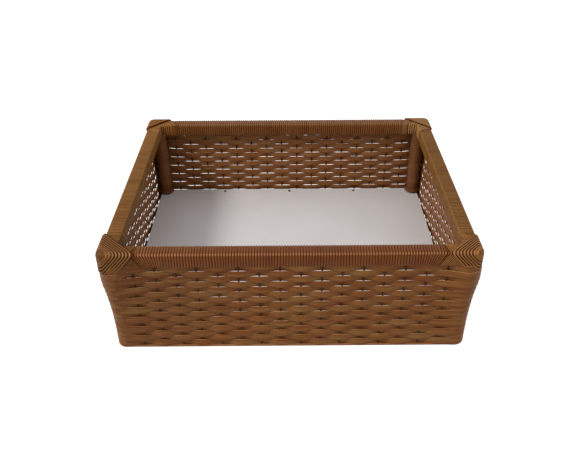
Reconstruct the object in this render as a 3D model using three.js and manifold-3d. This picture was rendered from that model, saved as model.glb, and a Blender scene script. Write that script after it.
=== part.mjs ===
// A synthetic wicker basket: flat strands woven over upright stakes, on a frame of
// metal tubes wrapped in strip, with a white board for its floor.
// Millimetres, +Z up. The front is towards -Y, and the origin is on the ground
// under the middle of the basket.

import * as THREE from 'three';
import { mergeVertices } from 'three/addons/utils/BufferGeometryUtils.js';
import Module from 'manifold-3d';

const wasm = await Module();
wasm.setup();

// Overall sizes, over the wrapped rim
const basketWidth = 400;
const basketDepth = 330;
const basketHeight = 131.5;
const clearance = 0.3;
const cutOverrun = 5;

// Rim: a frame of square tube, with a flat strip wound round each side
const rimTubeSide = 12.7;
const rimTubeWall = 1.2;
const rimStripThickness = 1.5;
const rimTurnGap = 0.6;
const longRimTurns = 24;
const shortRimTurns = 19;

// Corner posts: round tube, wrapped from the floor board up, with a thicker cuff at the foot
const postTubeDiameter = 16;
const postTubeWall = 1.2;
const postInset = 12.5;
const postWrapThickness = 1.2;
const cuffThickness = 2.2;
const cuffHeight = 6;
const postSides = 12;

// Base: square rails between the posts, and a board screwed down on them
const railSide = 12.7;
const railWall = 1.2;
const boardThickness = 6;
const notchSegments = 10;

// Board screws, in one row on each long rail
const screwShankDiameter = 2.4;
const screwHeadDiameter = 4;
const screwHeadHeight = 0.9;
const screwLength = 11;
const screwPointLength = 2;
const screwSpacing = 98;
const screwSides = 8;
const screwsPerRail = 3;

// Woven walls: stakes that rise from a border strand, and rows of flat strand round all four walls
const stakeWidth = 2;
const stakeThickness = 2.2;
const strandThickness = 1.3;
const strandLift = 0.45;
const rowGap = 0.5;
const rowCount = 16;
const borderHeight = 3;
const firstStakeFromCorner = 32.6;
const stakesPerLongWall = 16;
const stakesPerShortWall = 13;
const cornerSteps = 3;

// Corner bindings: strip laid over the corners of the rim, in an L that stands proud of it
const bindingReach = 40;
const bindingBulge = 2.4;
const bindingEndBulge = 0.8;
const bindingTaper = 9;
const bindingCornerRadius = 11;
const bindingEdgeRadius = 3.5;
const bindingDrop = 7;
const bindingDropStart = 9;
const bindingArcSegments = 5;

// Worked out from the sizes above
const halfWidth = basketWidth / 2;
const halfDepth = basketDepth / 2;
const rimTubeInset = rimStripThickness + clearance;
const rimSide = rimTubeSide + 2 * rimTubeInset;
const rimUnderside = basketHeight - rimSide;
const rimTubeUnderside = rimUnderside + rimTubeInset;
const postTubeRadius = postTubeDiameter / 2;
const postTubeHeight = rimTubeUnderside - clearance;
const weaveSwing = stakeThickness / 2 + strandLift + strandThickness / 2;
const weavePlane = weaveSwing + strandThickness / 2;
const weaveInside = weavePlane + weaveSwing + strandThickness / 2;
const frameInset = weaveInside + clearance;
const boardUnderside = railSide + clearance;
const boardTop = boardUnderside + boardThickness;
const wrapUnderside = boardTop + clearance;
const weaveTop = rimUnderside - clearance;
const weaveUnderside = borderHeight + clearance;
const rowPitch = (weaveTop - weaveUnderside + rowGap) / rowCount;
const strandWidth = rowPitch - rowGap;

// Finishes
const wovenStrand = new THREE.MeshStandardMaterial({ color: 0x8a5130, roughness: 0.5, metalness: 0 });
const wrapStrip = new THREE.MeshStandardMaterial({ color: 0x8c5a2e, roughness: 0.45, metalness: 0 });
const stakeCord = new THREE.MeshStandardMaterial({ color: 0x5a3020, roughness: 0.6, metalness: 0 });
const frameMetal = new THREE.MeshStandardMaterial({ color: 0x4a3428, roughness: 0.5, metalness: 0.3 });
const whiteBoard = new THREE.MeshStandardMaterial({ color: 0xd9d4cf, roughness: 0.4, metalness: 0 });
const darkSteel = new THREE.MeshStandardMaterial({ color: 0x3a3330, roughness: 0.5, metalness: 0.8 });

const basket = new THREE.Group();

function addPiece(parent, name, geometry, material) {
  const piece = new THREE.Mesh(geometry, material);
  piece.name = name;
  parent.add(piece);
  return piece;
}

// A solid that can be cut and joined, from a closed geometry
function solidOf(geometry) {
  const bare = geometry.index ? geometry.toNonIndexed() : geometry.clone();
  bare.deleteAttribute('normal');
  bare.deleteAttribute('uv');
  const merged = mergeVertices(bare);
  return new wasm.Manifold(new wasm.Mesh({
    numProp: 3,
    vertProperties: merged.attributes.position.array,
    triVerts: new Uint32Array(merged.index.array),
  }));
}

function geometryOf(solid) {
  const mesh = solid.getMesh();
  const geometry = new THREE.BufferGeometry();
  geometry.setAttribute('position', new THREE.BufferAttribute(mesh.vertProperties, mesh.numProp));
  geometry.setIndex(new THREE.BufferAttribute(mesh.triVerts, 1));
  const faceted = geometry.toNonIndexed();
  faceted.computeVertexNormals();
  return faceted;
}

function plainExtrusion(shape, depth, curveSegments = 1) {
  return new THREE.ExtrudeGeometry(shape, { depth, bevelEnabled: false, curveSegments });
}

function boxBetween(low, high) {
  const box = new THREE.BoxGeometry(high.x - low.x, high.y - low.y, high.z - low.z);
  box.translate((low.x + high.x) / 2, (low.y + high.y) / 2, (low.z + high.z) / 2);
  return box;
}

// Wall frames: X runs along the wall, Y is the depth inwards from its outer face, Z is up
const walls = [
  { side: 'front', length: basketWidth, at: [0, -halfDepth], stakes: stakesPerLongWall, turns: longRimTurns },
  { side: 'right', length: basketDepth, at: [halfWidth, 0], stakes: stakesPerShortWall, turns: shortRimTurns },
  { side: 'rear', length: basketWidth, at: [0, halfDepth], stakes: stakesPerLongWall, turns: longRimTurns },
  { side: 'left', length: basketDepth, at: [-halfWidth, 0], stakes: stakesPerShortWall, turns: shortRimTurns },
];

walls.forEach((wall, turn) => {
  wall.frame = new THREE.Group();
  wall.frame.rotation.z = turn * Math.PI / 2;
  wall.frame.position.set(wall.at[0], wall.at[1], 0);
  wall.isLong = turn % 2 === 0;
  basket.add(wall.frame);
});

// Corner frames: X and Y both run inwards from the sharp outer corner, Z is up
const corners = [
  { name: 'front_left', at: [-halfWidth, -halfDepth] },
  { name: 'front_right', at: [halfWidth, -halfDepth] },
  { name: 'rear_right', at: [halfWidth, halfDepth] },
  { name: 'rear_left', at: [-halfWidth, halfDepth] },
];

corners.forEach((corner, turn) => {
  corner.frame = new THREE.Group();
  corner.frame.rotation.z = turn * Math.PI / 2;
  corner.frame.position.set(corner.at[0], corner.at[1], 0);
  basket.add(corner.frame);
});

// Turns a shape that was extruded along Z so that it runs along a wall
function layAlongWall(geometry) {
  const across = new THREE.Vector3(0, 1, 0);
  const up = new THREE.Vector3(0, 0, 1);
  const along = new THREE.Vector3(1, 0, 0);
  geometry.applyMatrix4(new THREE.Matrix4().makeBasis(across, up, along));
  return geometry;
}

// Hollow square tube that runs along a wall, with its middle at the origin
function squareTube(side, wall, length) {
  const outer = side / 2;
  const bore = side / 2 - wall;
  const shape = new THREE.Shape();
  shape.moveTo(-outer, -outer);
  shape.lineTo(outer, -outer);
  shape.lineTo(outer, outer);
  shape.lineTo(-outer, outer);
  const hole = new THREE.Path();
  hole.moveTo(-bore, -bore);
  hole.lineTo(-bore, bore);
  hole.lineTo(bore, bore);
  hole.lineTo(bore, -bore);
  shape.holes.push(hole);
  const tube = plainExtrusion(shape, length);
  tube.translate(0, 0, -length / 2);
  return layAlongWall(tube);
}

// Cuts the ends of a tube at 45 degrees, full length on its outer face
function mitreEnds(tube, side) {
  const position = tube.attributes.position;
  for (let i = 0; i < position.count; i += 1) {
    const x = position.getX(i);
    const fromOuterFace = position.getY(i) + side / 2;
    position.setX(i, x - Math.sign(x) * fromOuterFace);
  }
  tube.computeVertexNormals();
  return tube;
}

function addRimTube(wall) {
  const mitreGap = clearance / Math.SQRT2;
  const length = wall.length - 2 * rimTubeInset - 2 * mitreGap;
  const tube = mitreEnds(squareTube(rimTubeSide, rimTubeWall, length), rimTubeSide);
  tube.translate(0, rimTubeInset + rimTubeSide / 2, rimTubeUnderside + rimTubeSide / 2);
  addPiece(wall.frame, `rim_tube_${wall.side}`, tube, frameMetal);
}

// The corners that a strip passes in one turn round the rim, seen along the wall
function turnCorners(halfSide) {
  return [
    [-halfSide, -halfSide],
    [-halfSide, halfSide],
    [halfSide, halfSide],
    [halfSide, -halfSide],
  ];
}

// The strip runs square to the rim on its outer, top and inner faces, and steps over
// to the next turn on the underside, where the walls hide it
function rimStripRings(length, turns) {
  const pitch = (length + rimTurnGap) / turns;
  const stripWidth = pitch - rimTurnGap;
  const inner = turnCorners(rimTubeSide / 2 + clearance);
  const outer = turnCorners(rimTubeSide / 2 + rimTubeInset);
  const start = -length / 2 + stripWidth / 2;
  const rings = [];
  for (let turn = 0; turn < turns; turn += 1) {
    const middle = start + turn * pitch;
    for (let corner = 0; corner < inner.length; corner += 1) {
      const left = middle - stripWidth / 2;
      const right = middle + stripWidth / 2;
      rings.push([
        new THREE.Vector3(left, ...inner[corner]),
        new THREE.Vector3(left, ...outer[corner]),
        new THREE.Vector3(right, ...outer[corner]),
        new THREE.Vector3(right, ...inner[corner]),
      ]);
    }
  }
  return rings;
}

// A closed body through rings of four points each, with flat ends
function bodyThroughRings(rings) {
  const corner = rings[0].length;
  const points = rings.flat();
  const faces = [];
  for (let ring = 0; ring < rings.length - 1; ring += 1) {
    for (let k = 0; k < corner; k += 1) {
      const a = ring * corner + k;
      const b = ring * corner + (k + 1) % corner;
      faces.push(a, b, b + corner, a, b + corner, a + corner);
    }
  }
  const last = (rings.length - 1) * corner;
  for (let k = 1; k < corner - 1; k += 1) {
    faces.push(0, k + 1, k);
    faces.push(last, last + k, last + k + 1);
  }
  const geometry = new THREE.BufferGeometry().setFromPoints(points);
  geometry.setIndex(faces);
  const faceted = geometry.toNonIndexed();
  faceted.computeVertexNormals();
  return faceted;
}

// Least distance from the right edge of each turn to the left edge of the next one
function leastTurnGap(rings, ringsPerTurn) {
  const samples = 24;
  const segment = new THREE.Line3();
  const probe = new THREE.Vector3();
  const nearest = new THREE.Vector3();
  let least = Infinity;
  const edges = [[3, 0], [2, 1]];
  for (const [right, left] of edges) {
    for (let i = 0; i < rings.length - 1; i += 1) {
      const first = i + 1;
      const last = Math.min(i + 2 * ringsPerTurn, rings.length - 1);
      for (let s = 0; s <= samples; s += 1) {
        probe.lerpVectors(rings[i][right], rings[i + 1][right], s / samples);
        for (let j = first + 1; j < last; j += 1) {
          segment.set(rings[j][left], rings[j + 1][left]);
          segment.closestPointToPoint(probe, true, nearest);
          least = Math.min(least, probe.distanceTo(nearest));
        }
      }
    }
  }
  return least;
}

function addRimWrap(wall) {
  const length = wall.length - 2 * bindingReach - 2 * clearance;
  const rings = rimStripRings(length, wall.turns);
  const strip = bodyThroughRings(rings);
  strip.translate(0, rimTubeInset + rimTubeSide / 2, rimTubeUnderside + rimTubeSide / 2);
  const name = `rim_wrap_${wall.side}`;
  const ringsPerTurn = turnCorners(rimTubeSide).length;
  const gap = leastTurnGap(rings, ringsPerTurn);
  console.log(`${name}: ${wall.turns} turns, least gap between turns ${gap.toFixed(2)} mm`);
  addPiece(wall.frame, name, strip, wrapStrip);
}

function hollowRound(outerRadius, innerRadius, low, high, sides) {
  const profile = [
    new THREE.Vector2(innerRadius, low),
    new THREE.Vector2(outerRadius, low),
    new THREE.Vector2(outerRadius, high),
    new THREE.Vector2(innerRadius, high),
    new THREE.Vector2(innerRadius, low),
  ];
  return upright(new THREE.LatheGeometry(profile, sides));
}

// A lathe turns round Y, so its axis is stood up along Z
function upright(geometry) {
  geometry.rotateX(Math.PI / 2);
  return geometry;
}

function addPost(corner) {
  const bore = postTubeRadius - postTubeWall;
  const tube = hollowRound(postTubeRadius, bore, 0, postTubeHeight, postSides);
  tube.translate(postInset, postInset, 0);
  addPiece(corner.frame, `post_tube_${corner.name}`, tube, frameMetal);
}

// Sleeve of wound strip round a post, with its thicker cuff standing on the board
function addPostWrap(corner) {
  const inner = (postTubeRadius + clearance) / Math.cos(Math.PI / postSides);
  const outer = inner + postWrapThickness;
  const cuff = inner + cuffThickness;
  const cuffTop = wrapUnderside + cuffHeight;
  const cuffRound = cuffThickness - postWrapThickness;
  const profile = [
    new THREE.Vector2(inner, wrapUnderside),
    new THREE.Vector2(cuff - cuffRound / 2, wrapUnderside),
    new THREE.Vector2(cuff, wrapUnderside + cuffRound),
    new THREE.Vector2(cuff, cuffTop - cuffRound),
    new THREE.Vector2(outer, cuffTop),
    new THREE.Vector2(outer, weaveTop),
    new THREE.Vector2(inner, weaveTop),
    new THREE.Vector2(inner, wrapUnderside),
  ];
  const sleeve = upright(new THREE.LatheGeometry(profile, postSides));
  sleeve.translate(postInset, postInset, 0);
  addPiece(corner.frame, `post_wrap_${corner.name}`, sleeve, wrapStrip);
}

// Places of the screws along a long wall
function screwPlaces() {
  const places = [];
  for (let i = 0; i < screwsPerRail; i += 1) {
    places.push((i - (screwsPerRail - 1) / 2) * screwSpacing);
  }
  return places;
}

const railMiddle = frameInset + railSide / 2;
const screwHoleRadius = screwShankDiameter / 2 + clearance;
const railEndFromCorner = postInset + postTubeRadius + clearance;

function addBaseRail(wall) {
  const length = wall.length - 2 * railEndFromCorner;
  const rail = squareTube(railSide, railWall, length);
  rail.translate(0, railMiddle, railSide / 2);
  let solid = solidOf(rail);
  if (wall.isLong) {
    for (const x of screwPlaces()) {
      const drill = new THREE.CylinderGeometry(screwHoleRadius, screwHoleRadius, 2 * railWall, screwSides);
      upright(drill);
      drill.translate(x, railMiddle, railSide);
      solid = solid.subtract(solidOf(drill));
    }
  }
  addPiece(wall.frame, `base_rail_${wall.side}`, geometryOf(solid), frameMetal);
}

// Board outline: straight edges against the walls, with a round notch for each post
function boardOutline() {
  const x = halfWidth - frameInset;
  const y = halfDepth - frameInset;
  const postX = halfWidth - postInset;
  const postY = halfDepth - postInset;
  const radius = postTubeRadius + clearance;
  const outwards = postInset - frameInset;
  const edgeAngle = Math.acos(outwards / radius);
  const middles = [
    [postX, postY],
    [-postX, postY],
    [-postX, -postY],
    [postX, -postY],
  ];
  const shape = new THREE.Shape();
  shape.moveTo(x, -postY + radius * Math.sin(edgeAngle));
  middles.forEach(([px, py], corner) => {
    const turn = corner * Math.PI / 2;
    shape.absarc(px, py, radius, turn - edgeAngle, turn + Math.PI / 2 + edgeAngle, true);
  });
  console.log(`floor board ${(2 * x).toFixed(1)} by ${(2 * y).toFixed(1)} mm`);
  return shape;
}

function addFloorBoard() {
  const shape = boardOutline();
  for (const side of [-1, 1]) {
    for (const x of screwPlaces()) {
      const hole = new THREE.Path();
      const points = [];
      for (let i = 0; i < screwSides; i += 1) {
        const angle = -i / screwSides * 2 * Math.PI;
        points.push(new THREE.Vector2(
          x + screwHoleRadius * Math.cos(angle),
          side * (halfDepth - railMiddle) + screwHoleRadius * Math.sin(angle),
        ));
      }
      hole.setFromPoints(points);
      shape.holes.push(hole);
    }
  }
  const board = plainExtrusion(shape, boardThickness, notchSegments);
  board.translate(0, 0, boardUnderside);
  addPiece(basket, 'floor_board', board, whiteBoard);
}

// Low round head on the board, plain shank down through the top of the rail
function screwBody() {
  const headUnderside = boardTop + clearance;
  const tip = headUnderside - screwLength;
  const head = screwHeadDiameter / 2;
  const shank = screwShankDiameter / 2;
  const profile = [
    new THREE.Vector2(0, tip),
    new THREE.Vector2(shank, tip + screwPointLength),
    new THREE.Vector2(shank, headUnderside),
    new THREE.Vector2(head, headUnderside),
    new THREE.Vector2(head, headUnderside + screwHeadHeight / 2),
    new THREE.Vector2(head / 2, headUnderside + screwHeadHeight),
    new THREE.Vector2(0, headUnderside + screwHeadHeight),
  ];
  return upright(new THREE.LatheGeometry(profile, screwSides));
}

function addScrews(wall) {
  const label = ['left', 'middle', 'right'];
  screwPlaces().forEach((place, i) => {
    const x = wall.side === 'front' ? place : -place;
    const screw = addPiece(wall.frame, `board_screw_${wall.side}_${label[i] ?? i}`, screwBody(), darkSteel);
    screw.position.set(x, railMiddle, 0);
  });
}

function stakePlaces(wall) {
  const half = wall.length / 2 - firstStakeFromCorner;
  const places = [];
  for (let i = 0; i < wall.stakes; i += 1) {
    places.push(-half + 2 * half * i / (wall.stakes - 1));
  }
  return places;
}

// Stakes of one wall, which turn over into the border strand along its foot.
// The long walls' borders run through to the corners, and the short ones fit between them.
function addStakes(wall) {
  const outerFace = weavePlane - stakeThickness / 2;
  const innerFace = weavePlane + stakeThickness / 2;
  const endInset = wall.isLong ? outerFace : innerFace + clearance;
  const end = wall.length / 2 - endInset;
  const shape = new THREE.Shape();
  shape.moveTo(-end, 0);
  shape.lineTo(end, 0);
  shape.lineTo(end, borderHeight);
  for (const x of stakePlaces(wall).reverse()) {
    shape.lineTo(x + stakeWidth / 2, borderHeight);
    shape.lineTo(x + stakeWidth / 2, weaveTop);
    shape.lineTo(x - stakeWidth / 2, weaveTop);
    shape.lineTo(x - stakeWidth / 2, borderHeight);
  }
  shape.lineTo(-end, borderHeight);
  const stakes = plainExtrusion(shape, stakeThickness);
  stakes.rotateX(Math.PI / 2);
  stakes.translate(0, innerFace, 0);
  addPiece(wall.frame, `stakes_${wall.side}`, stakes, stakeCord);
}

// Middle line of one row: outside one stake and inside the next, and outside the corner posts.
// Neighbouring rows pass each stake on opposite sides.
function rowMiddleLine(row) {
  const line = [];
  const bend = postInset - strandThickness / 2;
  walls.forEach((wall) => {
    const place = (x, depth) => {
      const point = new THREE.Vector3(x, depth, 0);
      wall.frame.updateMatrix();
      point.applyMatrix4(wall.frame.matrix);
      line.push(new THREE.Vector2(point.x, point.y));
    };
    stakePlaces(wall).forEach((x, stake) => {
      const outside = (row + stake) % 2 === 0;
      place(x, outside ? weavePlane - weaveSwing : weavePlane + weaveSwing);
    });
    const cornerX = wall.length / 2 - postInset;
    for (let step = 0; step <= cornerSteps; step += 1) {
      const angle = step / cornerSteps * Math.PI / 2;
      place(cornerX + bend * Math.sin(angle), postInset - bend * Math.cos(angle));
    }
  });
  return line;
}

// The same closed line moved sideways by a distance, with mitred corners
function offsetLine(line, distance) {
  return line.map((point, i) => {
    const before = line[(i + line.length - 1) % line.length];
    const after = line[(i + 1) % line.length];
    const arriving = point.clone().sub(before).normalize();
    const leaving = after.clone().sub(point).normalize();
    const outwards = new THREE.Vector2(arriving.y + leaving.y, -arriving.x - leaving.x).normalize();
    const cosine = outwards.x * arriving.y - outwards.y * arriving.x;
    return point.clone().addScaledVector(outwards, distance / cosine);
  });
}

function addWeaverRows() {
  for (let row = 0; row < rowCount; row += 1) {
    const line = rowMiddleLine(row);
    const shape = new THREE.Shape(offsetLine(line, strandThickness / 2));
    shape.holes.push(new THREE.Path(offsetLine(line, -strandThickness / 2)));
    const strand = plainExtrusion(shape, strandWidth);
    strand.translate(0, 0, weaveTop - row * rowPitch - strandWidth);
    addPiece(basket, `weaver_row_${String(row + 1).padStart(2, '0')}`, strand, wovenStrand);
  }
}

// Plan of a binding: an L with a round outer corner, drawn in at the ends of its arms
function bindingPlan() {
  const outside = -bindingBulge;
  const inside = rimSide + bindingBulge;
  const endOutside = -bindingEndBulge;
  const endInside = rimSide + bindingEndBulge;
  const full = bindingReach - bindingTaper;
  const middle = outside + bindingCornerRadius;
  const shape = new THREE.Shape();
  shape.moveTo(middle, outside);
  shape.lineTo(full, outside);
  shape.lineTo(bindingReach, endOutside);
  shape.lineTo(bindingReach, endInside);
  shape.lineTo(full, inside);
  shape.lineTo(inside, inside);
  shape.lineTo(inside, full);
  shape.lineTo(endInside, bindingReach);
  shape.lineTo(endOutside, bindingReach);
  shape.lineTo(outside, full);
  shape.lineTo(outside, middle);
  shape.absarc(middle, middle, bindingCornerRadius, Math.PI, 3 / 2 * Math.PI, false);
  return shape;
}

// What the binding hangs over outside the walls, down to the lower edge that rises
// away from the corner
function bindingSkirt() {
  const low = rimUnderside - bindingDrop;
  const high = rimUnderside + bindingEdgeRadius;
  const skirt = plainExtrusion(bindingPlan(), high - low, bindingArcSegments);
  skirt.translate(0, 0, low);
  let solid = solidOf(skirt);
  const rise = new THREE.Shape();
  rise.moveTo(bindingDropStart, low - cutOverrun);
  rise.lineTo(bindingReach + cutOverrun, low - cutOverrun);
  rise.lineTo(bindingReach + cutOverrun, rimUnderside);
  rise.lineTo(bindingReach, rimUnderside);
  rise.lineTo(bindingDropStart, low);
  const across = bindingReach + 2 * bindingBulge;
  const alongX = plainExtrusion(rise, across);
  alongX.rotateX(Math.PI / 2);
  alongX.translate(0, bindingDropStart, 0);
  solid = solid.subtract(solidOf(alongX));
  const alongY = alongX.clone();
  alongY.rotateZ(Math.PI / 2);
  alongY.scale(-1, 1, 1);
  flipFaces(alongY);
  return solid.subtract(solidOf(alongY));
}

// Turns each face round, after a mirroring
function flipFaces(geometry) {
  const position = geometry.attributes.position;
  const first = new THREE.Vector3();
  const second = new THREE.Vector3();
  for (let i = 0; i < position.count; i += 3) {
    first.fromBufferAttribute(position, i + 1);
    second.fromBufferAttribute(position, i + 2);
    position.setXYZ(i + 1, second.x, second.y, second.z);
    position.setXYZ(i + 2, first.x, first.y, first.z);
  }
}

// Room under the rim for the walls and the top row, with their round corner
function wallRoom() {
  const far = bindingReach + cutOverrun;
  const shape = new THREE.Shape();
  shape.moveTo(postInset, -clearance);
  shape.lineTo(far, -clearance);
  shape.lineTo(far, far);
  shape.lineTo(-clearance, far);
  shape.lineTo(-clearance, postInset);
  shape.absarc(postInset, postInset, postInset + clearance, Math.PI, 3 / 2 * Math.PI, false);
  const height = bindingDrop + cutOverrun;
  const room = plainExtrusion(shape, height, bindingArcSegments);
  room.translate(0, 0, rimUnderside - height);
  return solidOf(room);
}

// Room for the two rim tubes inside a binding
function rimTubeRoom() {
  const near = rimTubeInset - clearance;
  const far = rimTubeInset + rimTubeSide + clearance;
  const low = rimTubeUnderside - clearance;
  const high = rimTubeUnderside + rimTubeSide + clearance;
  const end = bindingReach + cutOverrun;
  const alongX = boxBetween(new THREE.Vector3(near, near, low), new THREE.Vector3(end, far, high));
  const alongY = boxBetween(new THREE.Vector3(near, near, low), new THREE.Vector3(far, end, high));
  return solidOf(alongX).add(solidOf(alongY));
}

// Room for the head of the post, up to the rim tubes
function postRoom() {
  const radius = (postTubeRadius + clearance) / Math.cos(Math.PI / postSides);
  const height = rimTubeUnderside - rimUnderside + cutOverrun;
  const room = upright(new THREE.CylinderGeometry(radius, radius, height, postSides));
  room.translate(postInset, postInset, rimTubeUnderside - height / 2);
  return solidOf(room);
}

function addCornerBindings() {
  const low = rimUnderside - bindingBulge;
  const high = basketHeight + bindingBulge;
  const block = new THREE.ExtrudeGeometry(bindingPlan(), {
    depth: high - low - 2 * bindingEdgeRadius,
    bevelSize: bindingEdgeRadius,
    bevelThickness: bindingEdgeRadius,
    bevelOffset: -bindingEdgeRadius,
    bevelSegments: 2,
    curveSegments: bindingArcSegments,
  });
  block.translate(0, 0, low + bindingEdgeRadius);
  const binding = solidOf(block)
    .add(bindingSkirt())
    .subtract(wallRoom())
    .subtract(rimTubeRoom())
    .subtract(postRoom());
  const geometry = geometryOf(binding);
  for (const corner of corners) {
    addPiece(corner.frame, `corner_binding_${corner.name}`, geometry.clone(), wrapStrip);
  }
}

for (const wall of walls) {
  addRimTube(wall);
  addRimWrap(wall);
  addBaseRail(wall);
  addStakes(wall);
  if (wall.isLong) {
    addScrews(wall);
  }
}
for (const corner of corners) {
  addPost(corner);
  addPostWrap(corner);
}
addFloorBoard();
addWeaverRows();
addCornerBindings();

export default basket;
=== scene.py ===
# %% [markdown]
# # A woven basket with a bound rim
#
# Almost everything that shows on this basket is one thing: flat plastic strip. Wide strand is
# woven through upright stakes to make the walls, and narrow strip is wound round the rim and
# the posts and bound over the corners. So the lesson builds one tool first, a strip that can be
# laid along any route, and then spends its time on the routes.
#
# The tubes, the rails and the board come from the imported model, which is loaded here and gives
# the main sizes and places below.

# %% Load the frame
import math
import random

import bpy
from mathutils import Matrix, Vector


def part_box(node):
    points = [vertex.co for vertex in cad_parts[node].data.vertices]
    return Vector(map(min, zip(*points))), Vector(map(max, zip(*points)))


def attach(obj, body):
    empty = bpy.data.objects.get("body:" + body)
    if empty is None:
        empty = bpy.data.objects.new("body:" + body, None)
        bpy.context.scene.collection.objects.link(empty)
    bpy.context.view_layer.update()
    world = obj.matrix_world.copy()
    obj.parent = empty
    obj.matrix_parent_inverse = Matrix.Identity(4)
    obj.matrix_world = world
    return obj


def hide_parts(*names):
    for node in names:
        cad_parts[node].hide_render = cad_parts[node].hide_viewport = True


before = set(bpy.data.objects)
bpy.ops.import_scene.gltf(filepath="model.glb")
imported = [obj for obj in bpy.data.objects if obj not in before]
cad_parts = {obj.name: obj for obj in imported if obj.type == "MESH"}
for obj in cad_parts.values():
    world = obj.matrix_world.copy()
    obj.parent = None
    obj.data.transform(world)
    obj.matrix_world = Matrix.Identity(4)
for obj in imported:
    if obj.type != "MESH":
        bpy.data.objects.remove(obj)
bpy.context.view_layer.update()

# %% [markdown]
# ## Sizes from the frame
#
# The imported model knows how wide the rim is, how high each row of strand lies and where the
# posts stand. Reading those from the nodes keeps the looks and the model together. Only what
# the model doesn't say, such as how thin the real strip is, is a value of its own.

# %% Read the sizes
MM = 0.001

rim_low, rim_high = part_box("rim_wrap_front")
row_boxes = [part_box(f"weaver_row_{row:02d}") for row in range(1, 17)]
board_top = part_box("floor_board")[1].z

half_width = -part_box("rim_wrap_left")[0].x
half_depth = -rim_low.y
rim_side = rim_high.y - rim_low.y
rim_top = rim_high.z
rim_underside = rim_low.z
weave_top = row_boxes[0][1].z
row_pitch = row_boxes[0][1].z - row_boxes[1][1].z

FIRST_STAKE_FROM_CORNER = 32.6 * MM
LONG_WALL_STAKES = 16
SHORT_WALL_STAKES = 13
WALL_CORNER_RADIUS = 12.5 * MM

print(f"rim {rim_side / MM:.1f} mm square, top at {rim_top / MM:.1f} mm")
print(f"{len(row_boxes)} rows, {row_pitch / MM:.2f} mm apart")

# %% [markdown]
# ## The camera
#
# The camera stands where the photograph was taken from: in front of the basket, a little over
# half a metre up, looking down at 34 degrees. It is placed first, so that every later
# step can be judged through it.

# %% Place the camera
CAMERA_PLACE = Vector((-2.7, -718.6, 537.2)) * MM
CAMERA_PITCH_DOWN = math.radians(34.13)
CAMERA_YAW = math.radians(0.23)
CAMERA_ROLL = math.radians(-0.26)
PHOTO_WIDTH_PIXELS = 580
FOCAL_LENGTH_PIXELS = 660.5
SENSOR_WIDTH = 36

bpy.ops.object.camera_add(location=CAMERA_PLACE)
camera = bpy.context.object
camera.name = "photo_camera"
turn_left_right = Matrix.Rotation(-CAMERA_YAW, 3, "Z")
tip_down = Matrix.Rotation(math.pi / 2 - CAMERA_PITCH_DOWN, 3, "X")
lean = Matrix.Rotation(CAMERA_ROLL, 3, "Z")
camera.rotation_euler = (turn_left_right @ tip_down @ lean).to_euler()
camera.data.sensor_width = SENSOR_WIDTH
camera.data.lens = SENSOR_WIDTH * FOCAL_LENGTH_PIXELS / PHOTO_WIDTH_PIXELS
bpy.context.scene.camera = camera
print(f"lens {camera.data.lens:.1f} mm, pitch {math.degrees(CAMERA_PITCH_DOWN):.1f} degrees down")

# %% [markdown]
# ## Nodes in few words
#
# The sky, the ground and every finish are made of the same few kinds of node. One helper adds a
# node and fills its inputs at once, each with a number, a colour or the output of another node,
# so that the cells below can say what a finish is and not how it is wired.

# %% Node helpers
WHITE = (1.0, 1.0, 1.0, 1.0)

def feed(owner, socket, value):
    """Gives an input its value, or links it when the value is another node's output."""
    if isinstance(value, bpy.types.NodeSocket):
        owner.node_tree.links.new(value, socket)
    else:
        socket.default_value = value

def add_node(owner, kind, inputs, **settings):
    node = owner.node_tree.nodes.new("ShaderNode" + kind)
    for setting, value in settings.items():
        setattr(node, setting, value)
    for socket, value in inputs.items():
        feed(owner, node.inputs[socket], value)
    return node

def maths(owner, operation, first, second=0.0):
    return add_node(owner, "Math", {0: first, 1: second}, operation=operation).outputs[0]

def looked_at(owner):
    """1 where the camera looks, straight, in a mirror or through something clear, else 0."""
    rays = add_node(owner, "LightPath", {}).outputs
    straight_or_mirrored = maths(owner, "MAXIMUM", rays["Is Camera Ray"], rays["Is Glossy Ray"])
    return maths(owner, "MAXIMUM", straight_or_mirrored, rays["Is Transmission Ray"])

def new_finish(name, roughness, specular=0.5, metallic=0.0):
    """A material, and the inputs of its shader."""
    finish = bpy.data.materials.new(name)
    finish.use_nodes = True
    shader = finish.node_tree.nodes["Principled BSDF"].inputs
    shader["Roughness"].default_value = roughness
    shader["Specular IOR Level"].default_value = specular
    shader["Metallic"].default_value = metallic
    return finish, shader

# %% [markdown]
# ## Light and ground
#
# The photograph has soft light from high on the left. The left wall shades a strip of the board
# about 70 mm wide, and the shade fades out over another 60 mm, so the lamp is wide for its
# distance and stands well over to that side. A pale sky and the white ground fill the shadows. The
# ground and the sky are shown to the camera at full white, so that they read as a studio sweep,
# while the ground still takes the basket's shadow.

# %% Light the scene
LAMP_PLACE = Vector((-1.21, -0.585, 1.438))
LAMP_AIM = Vector((0, 0, 0.06))
LAMP_SIZE = 0.50
LAMP_WATTS = 18.8
LAMP_COLOUR = (1.0, 0.99, 0.97)
SKY_STRENGTH = 0.70

bpy.context.scene.view_settings.view_transform = "Standard"

bpy.ops.object.light_add(type="AREA", location=LAMP_PLACE)
lamp = bpy.context.object
lamp.name = "key_lamp"
lamp.data.shape = "DISK"
lamp.data.size = LAMP_SIZE
lamp.data.energy = LAMP_WATTS
lamp.data.color = LAMP_COLOUR
lamp.rotation_euler = (LAMP_AIM - LAMP_PLACE).to_track_quat("-Z", "Y").to_euler()

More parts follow.
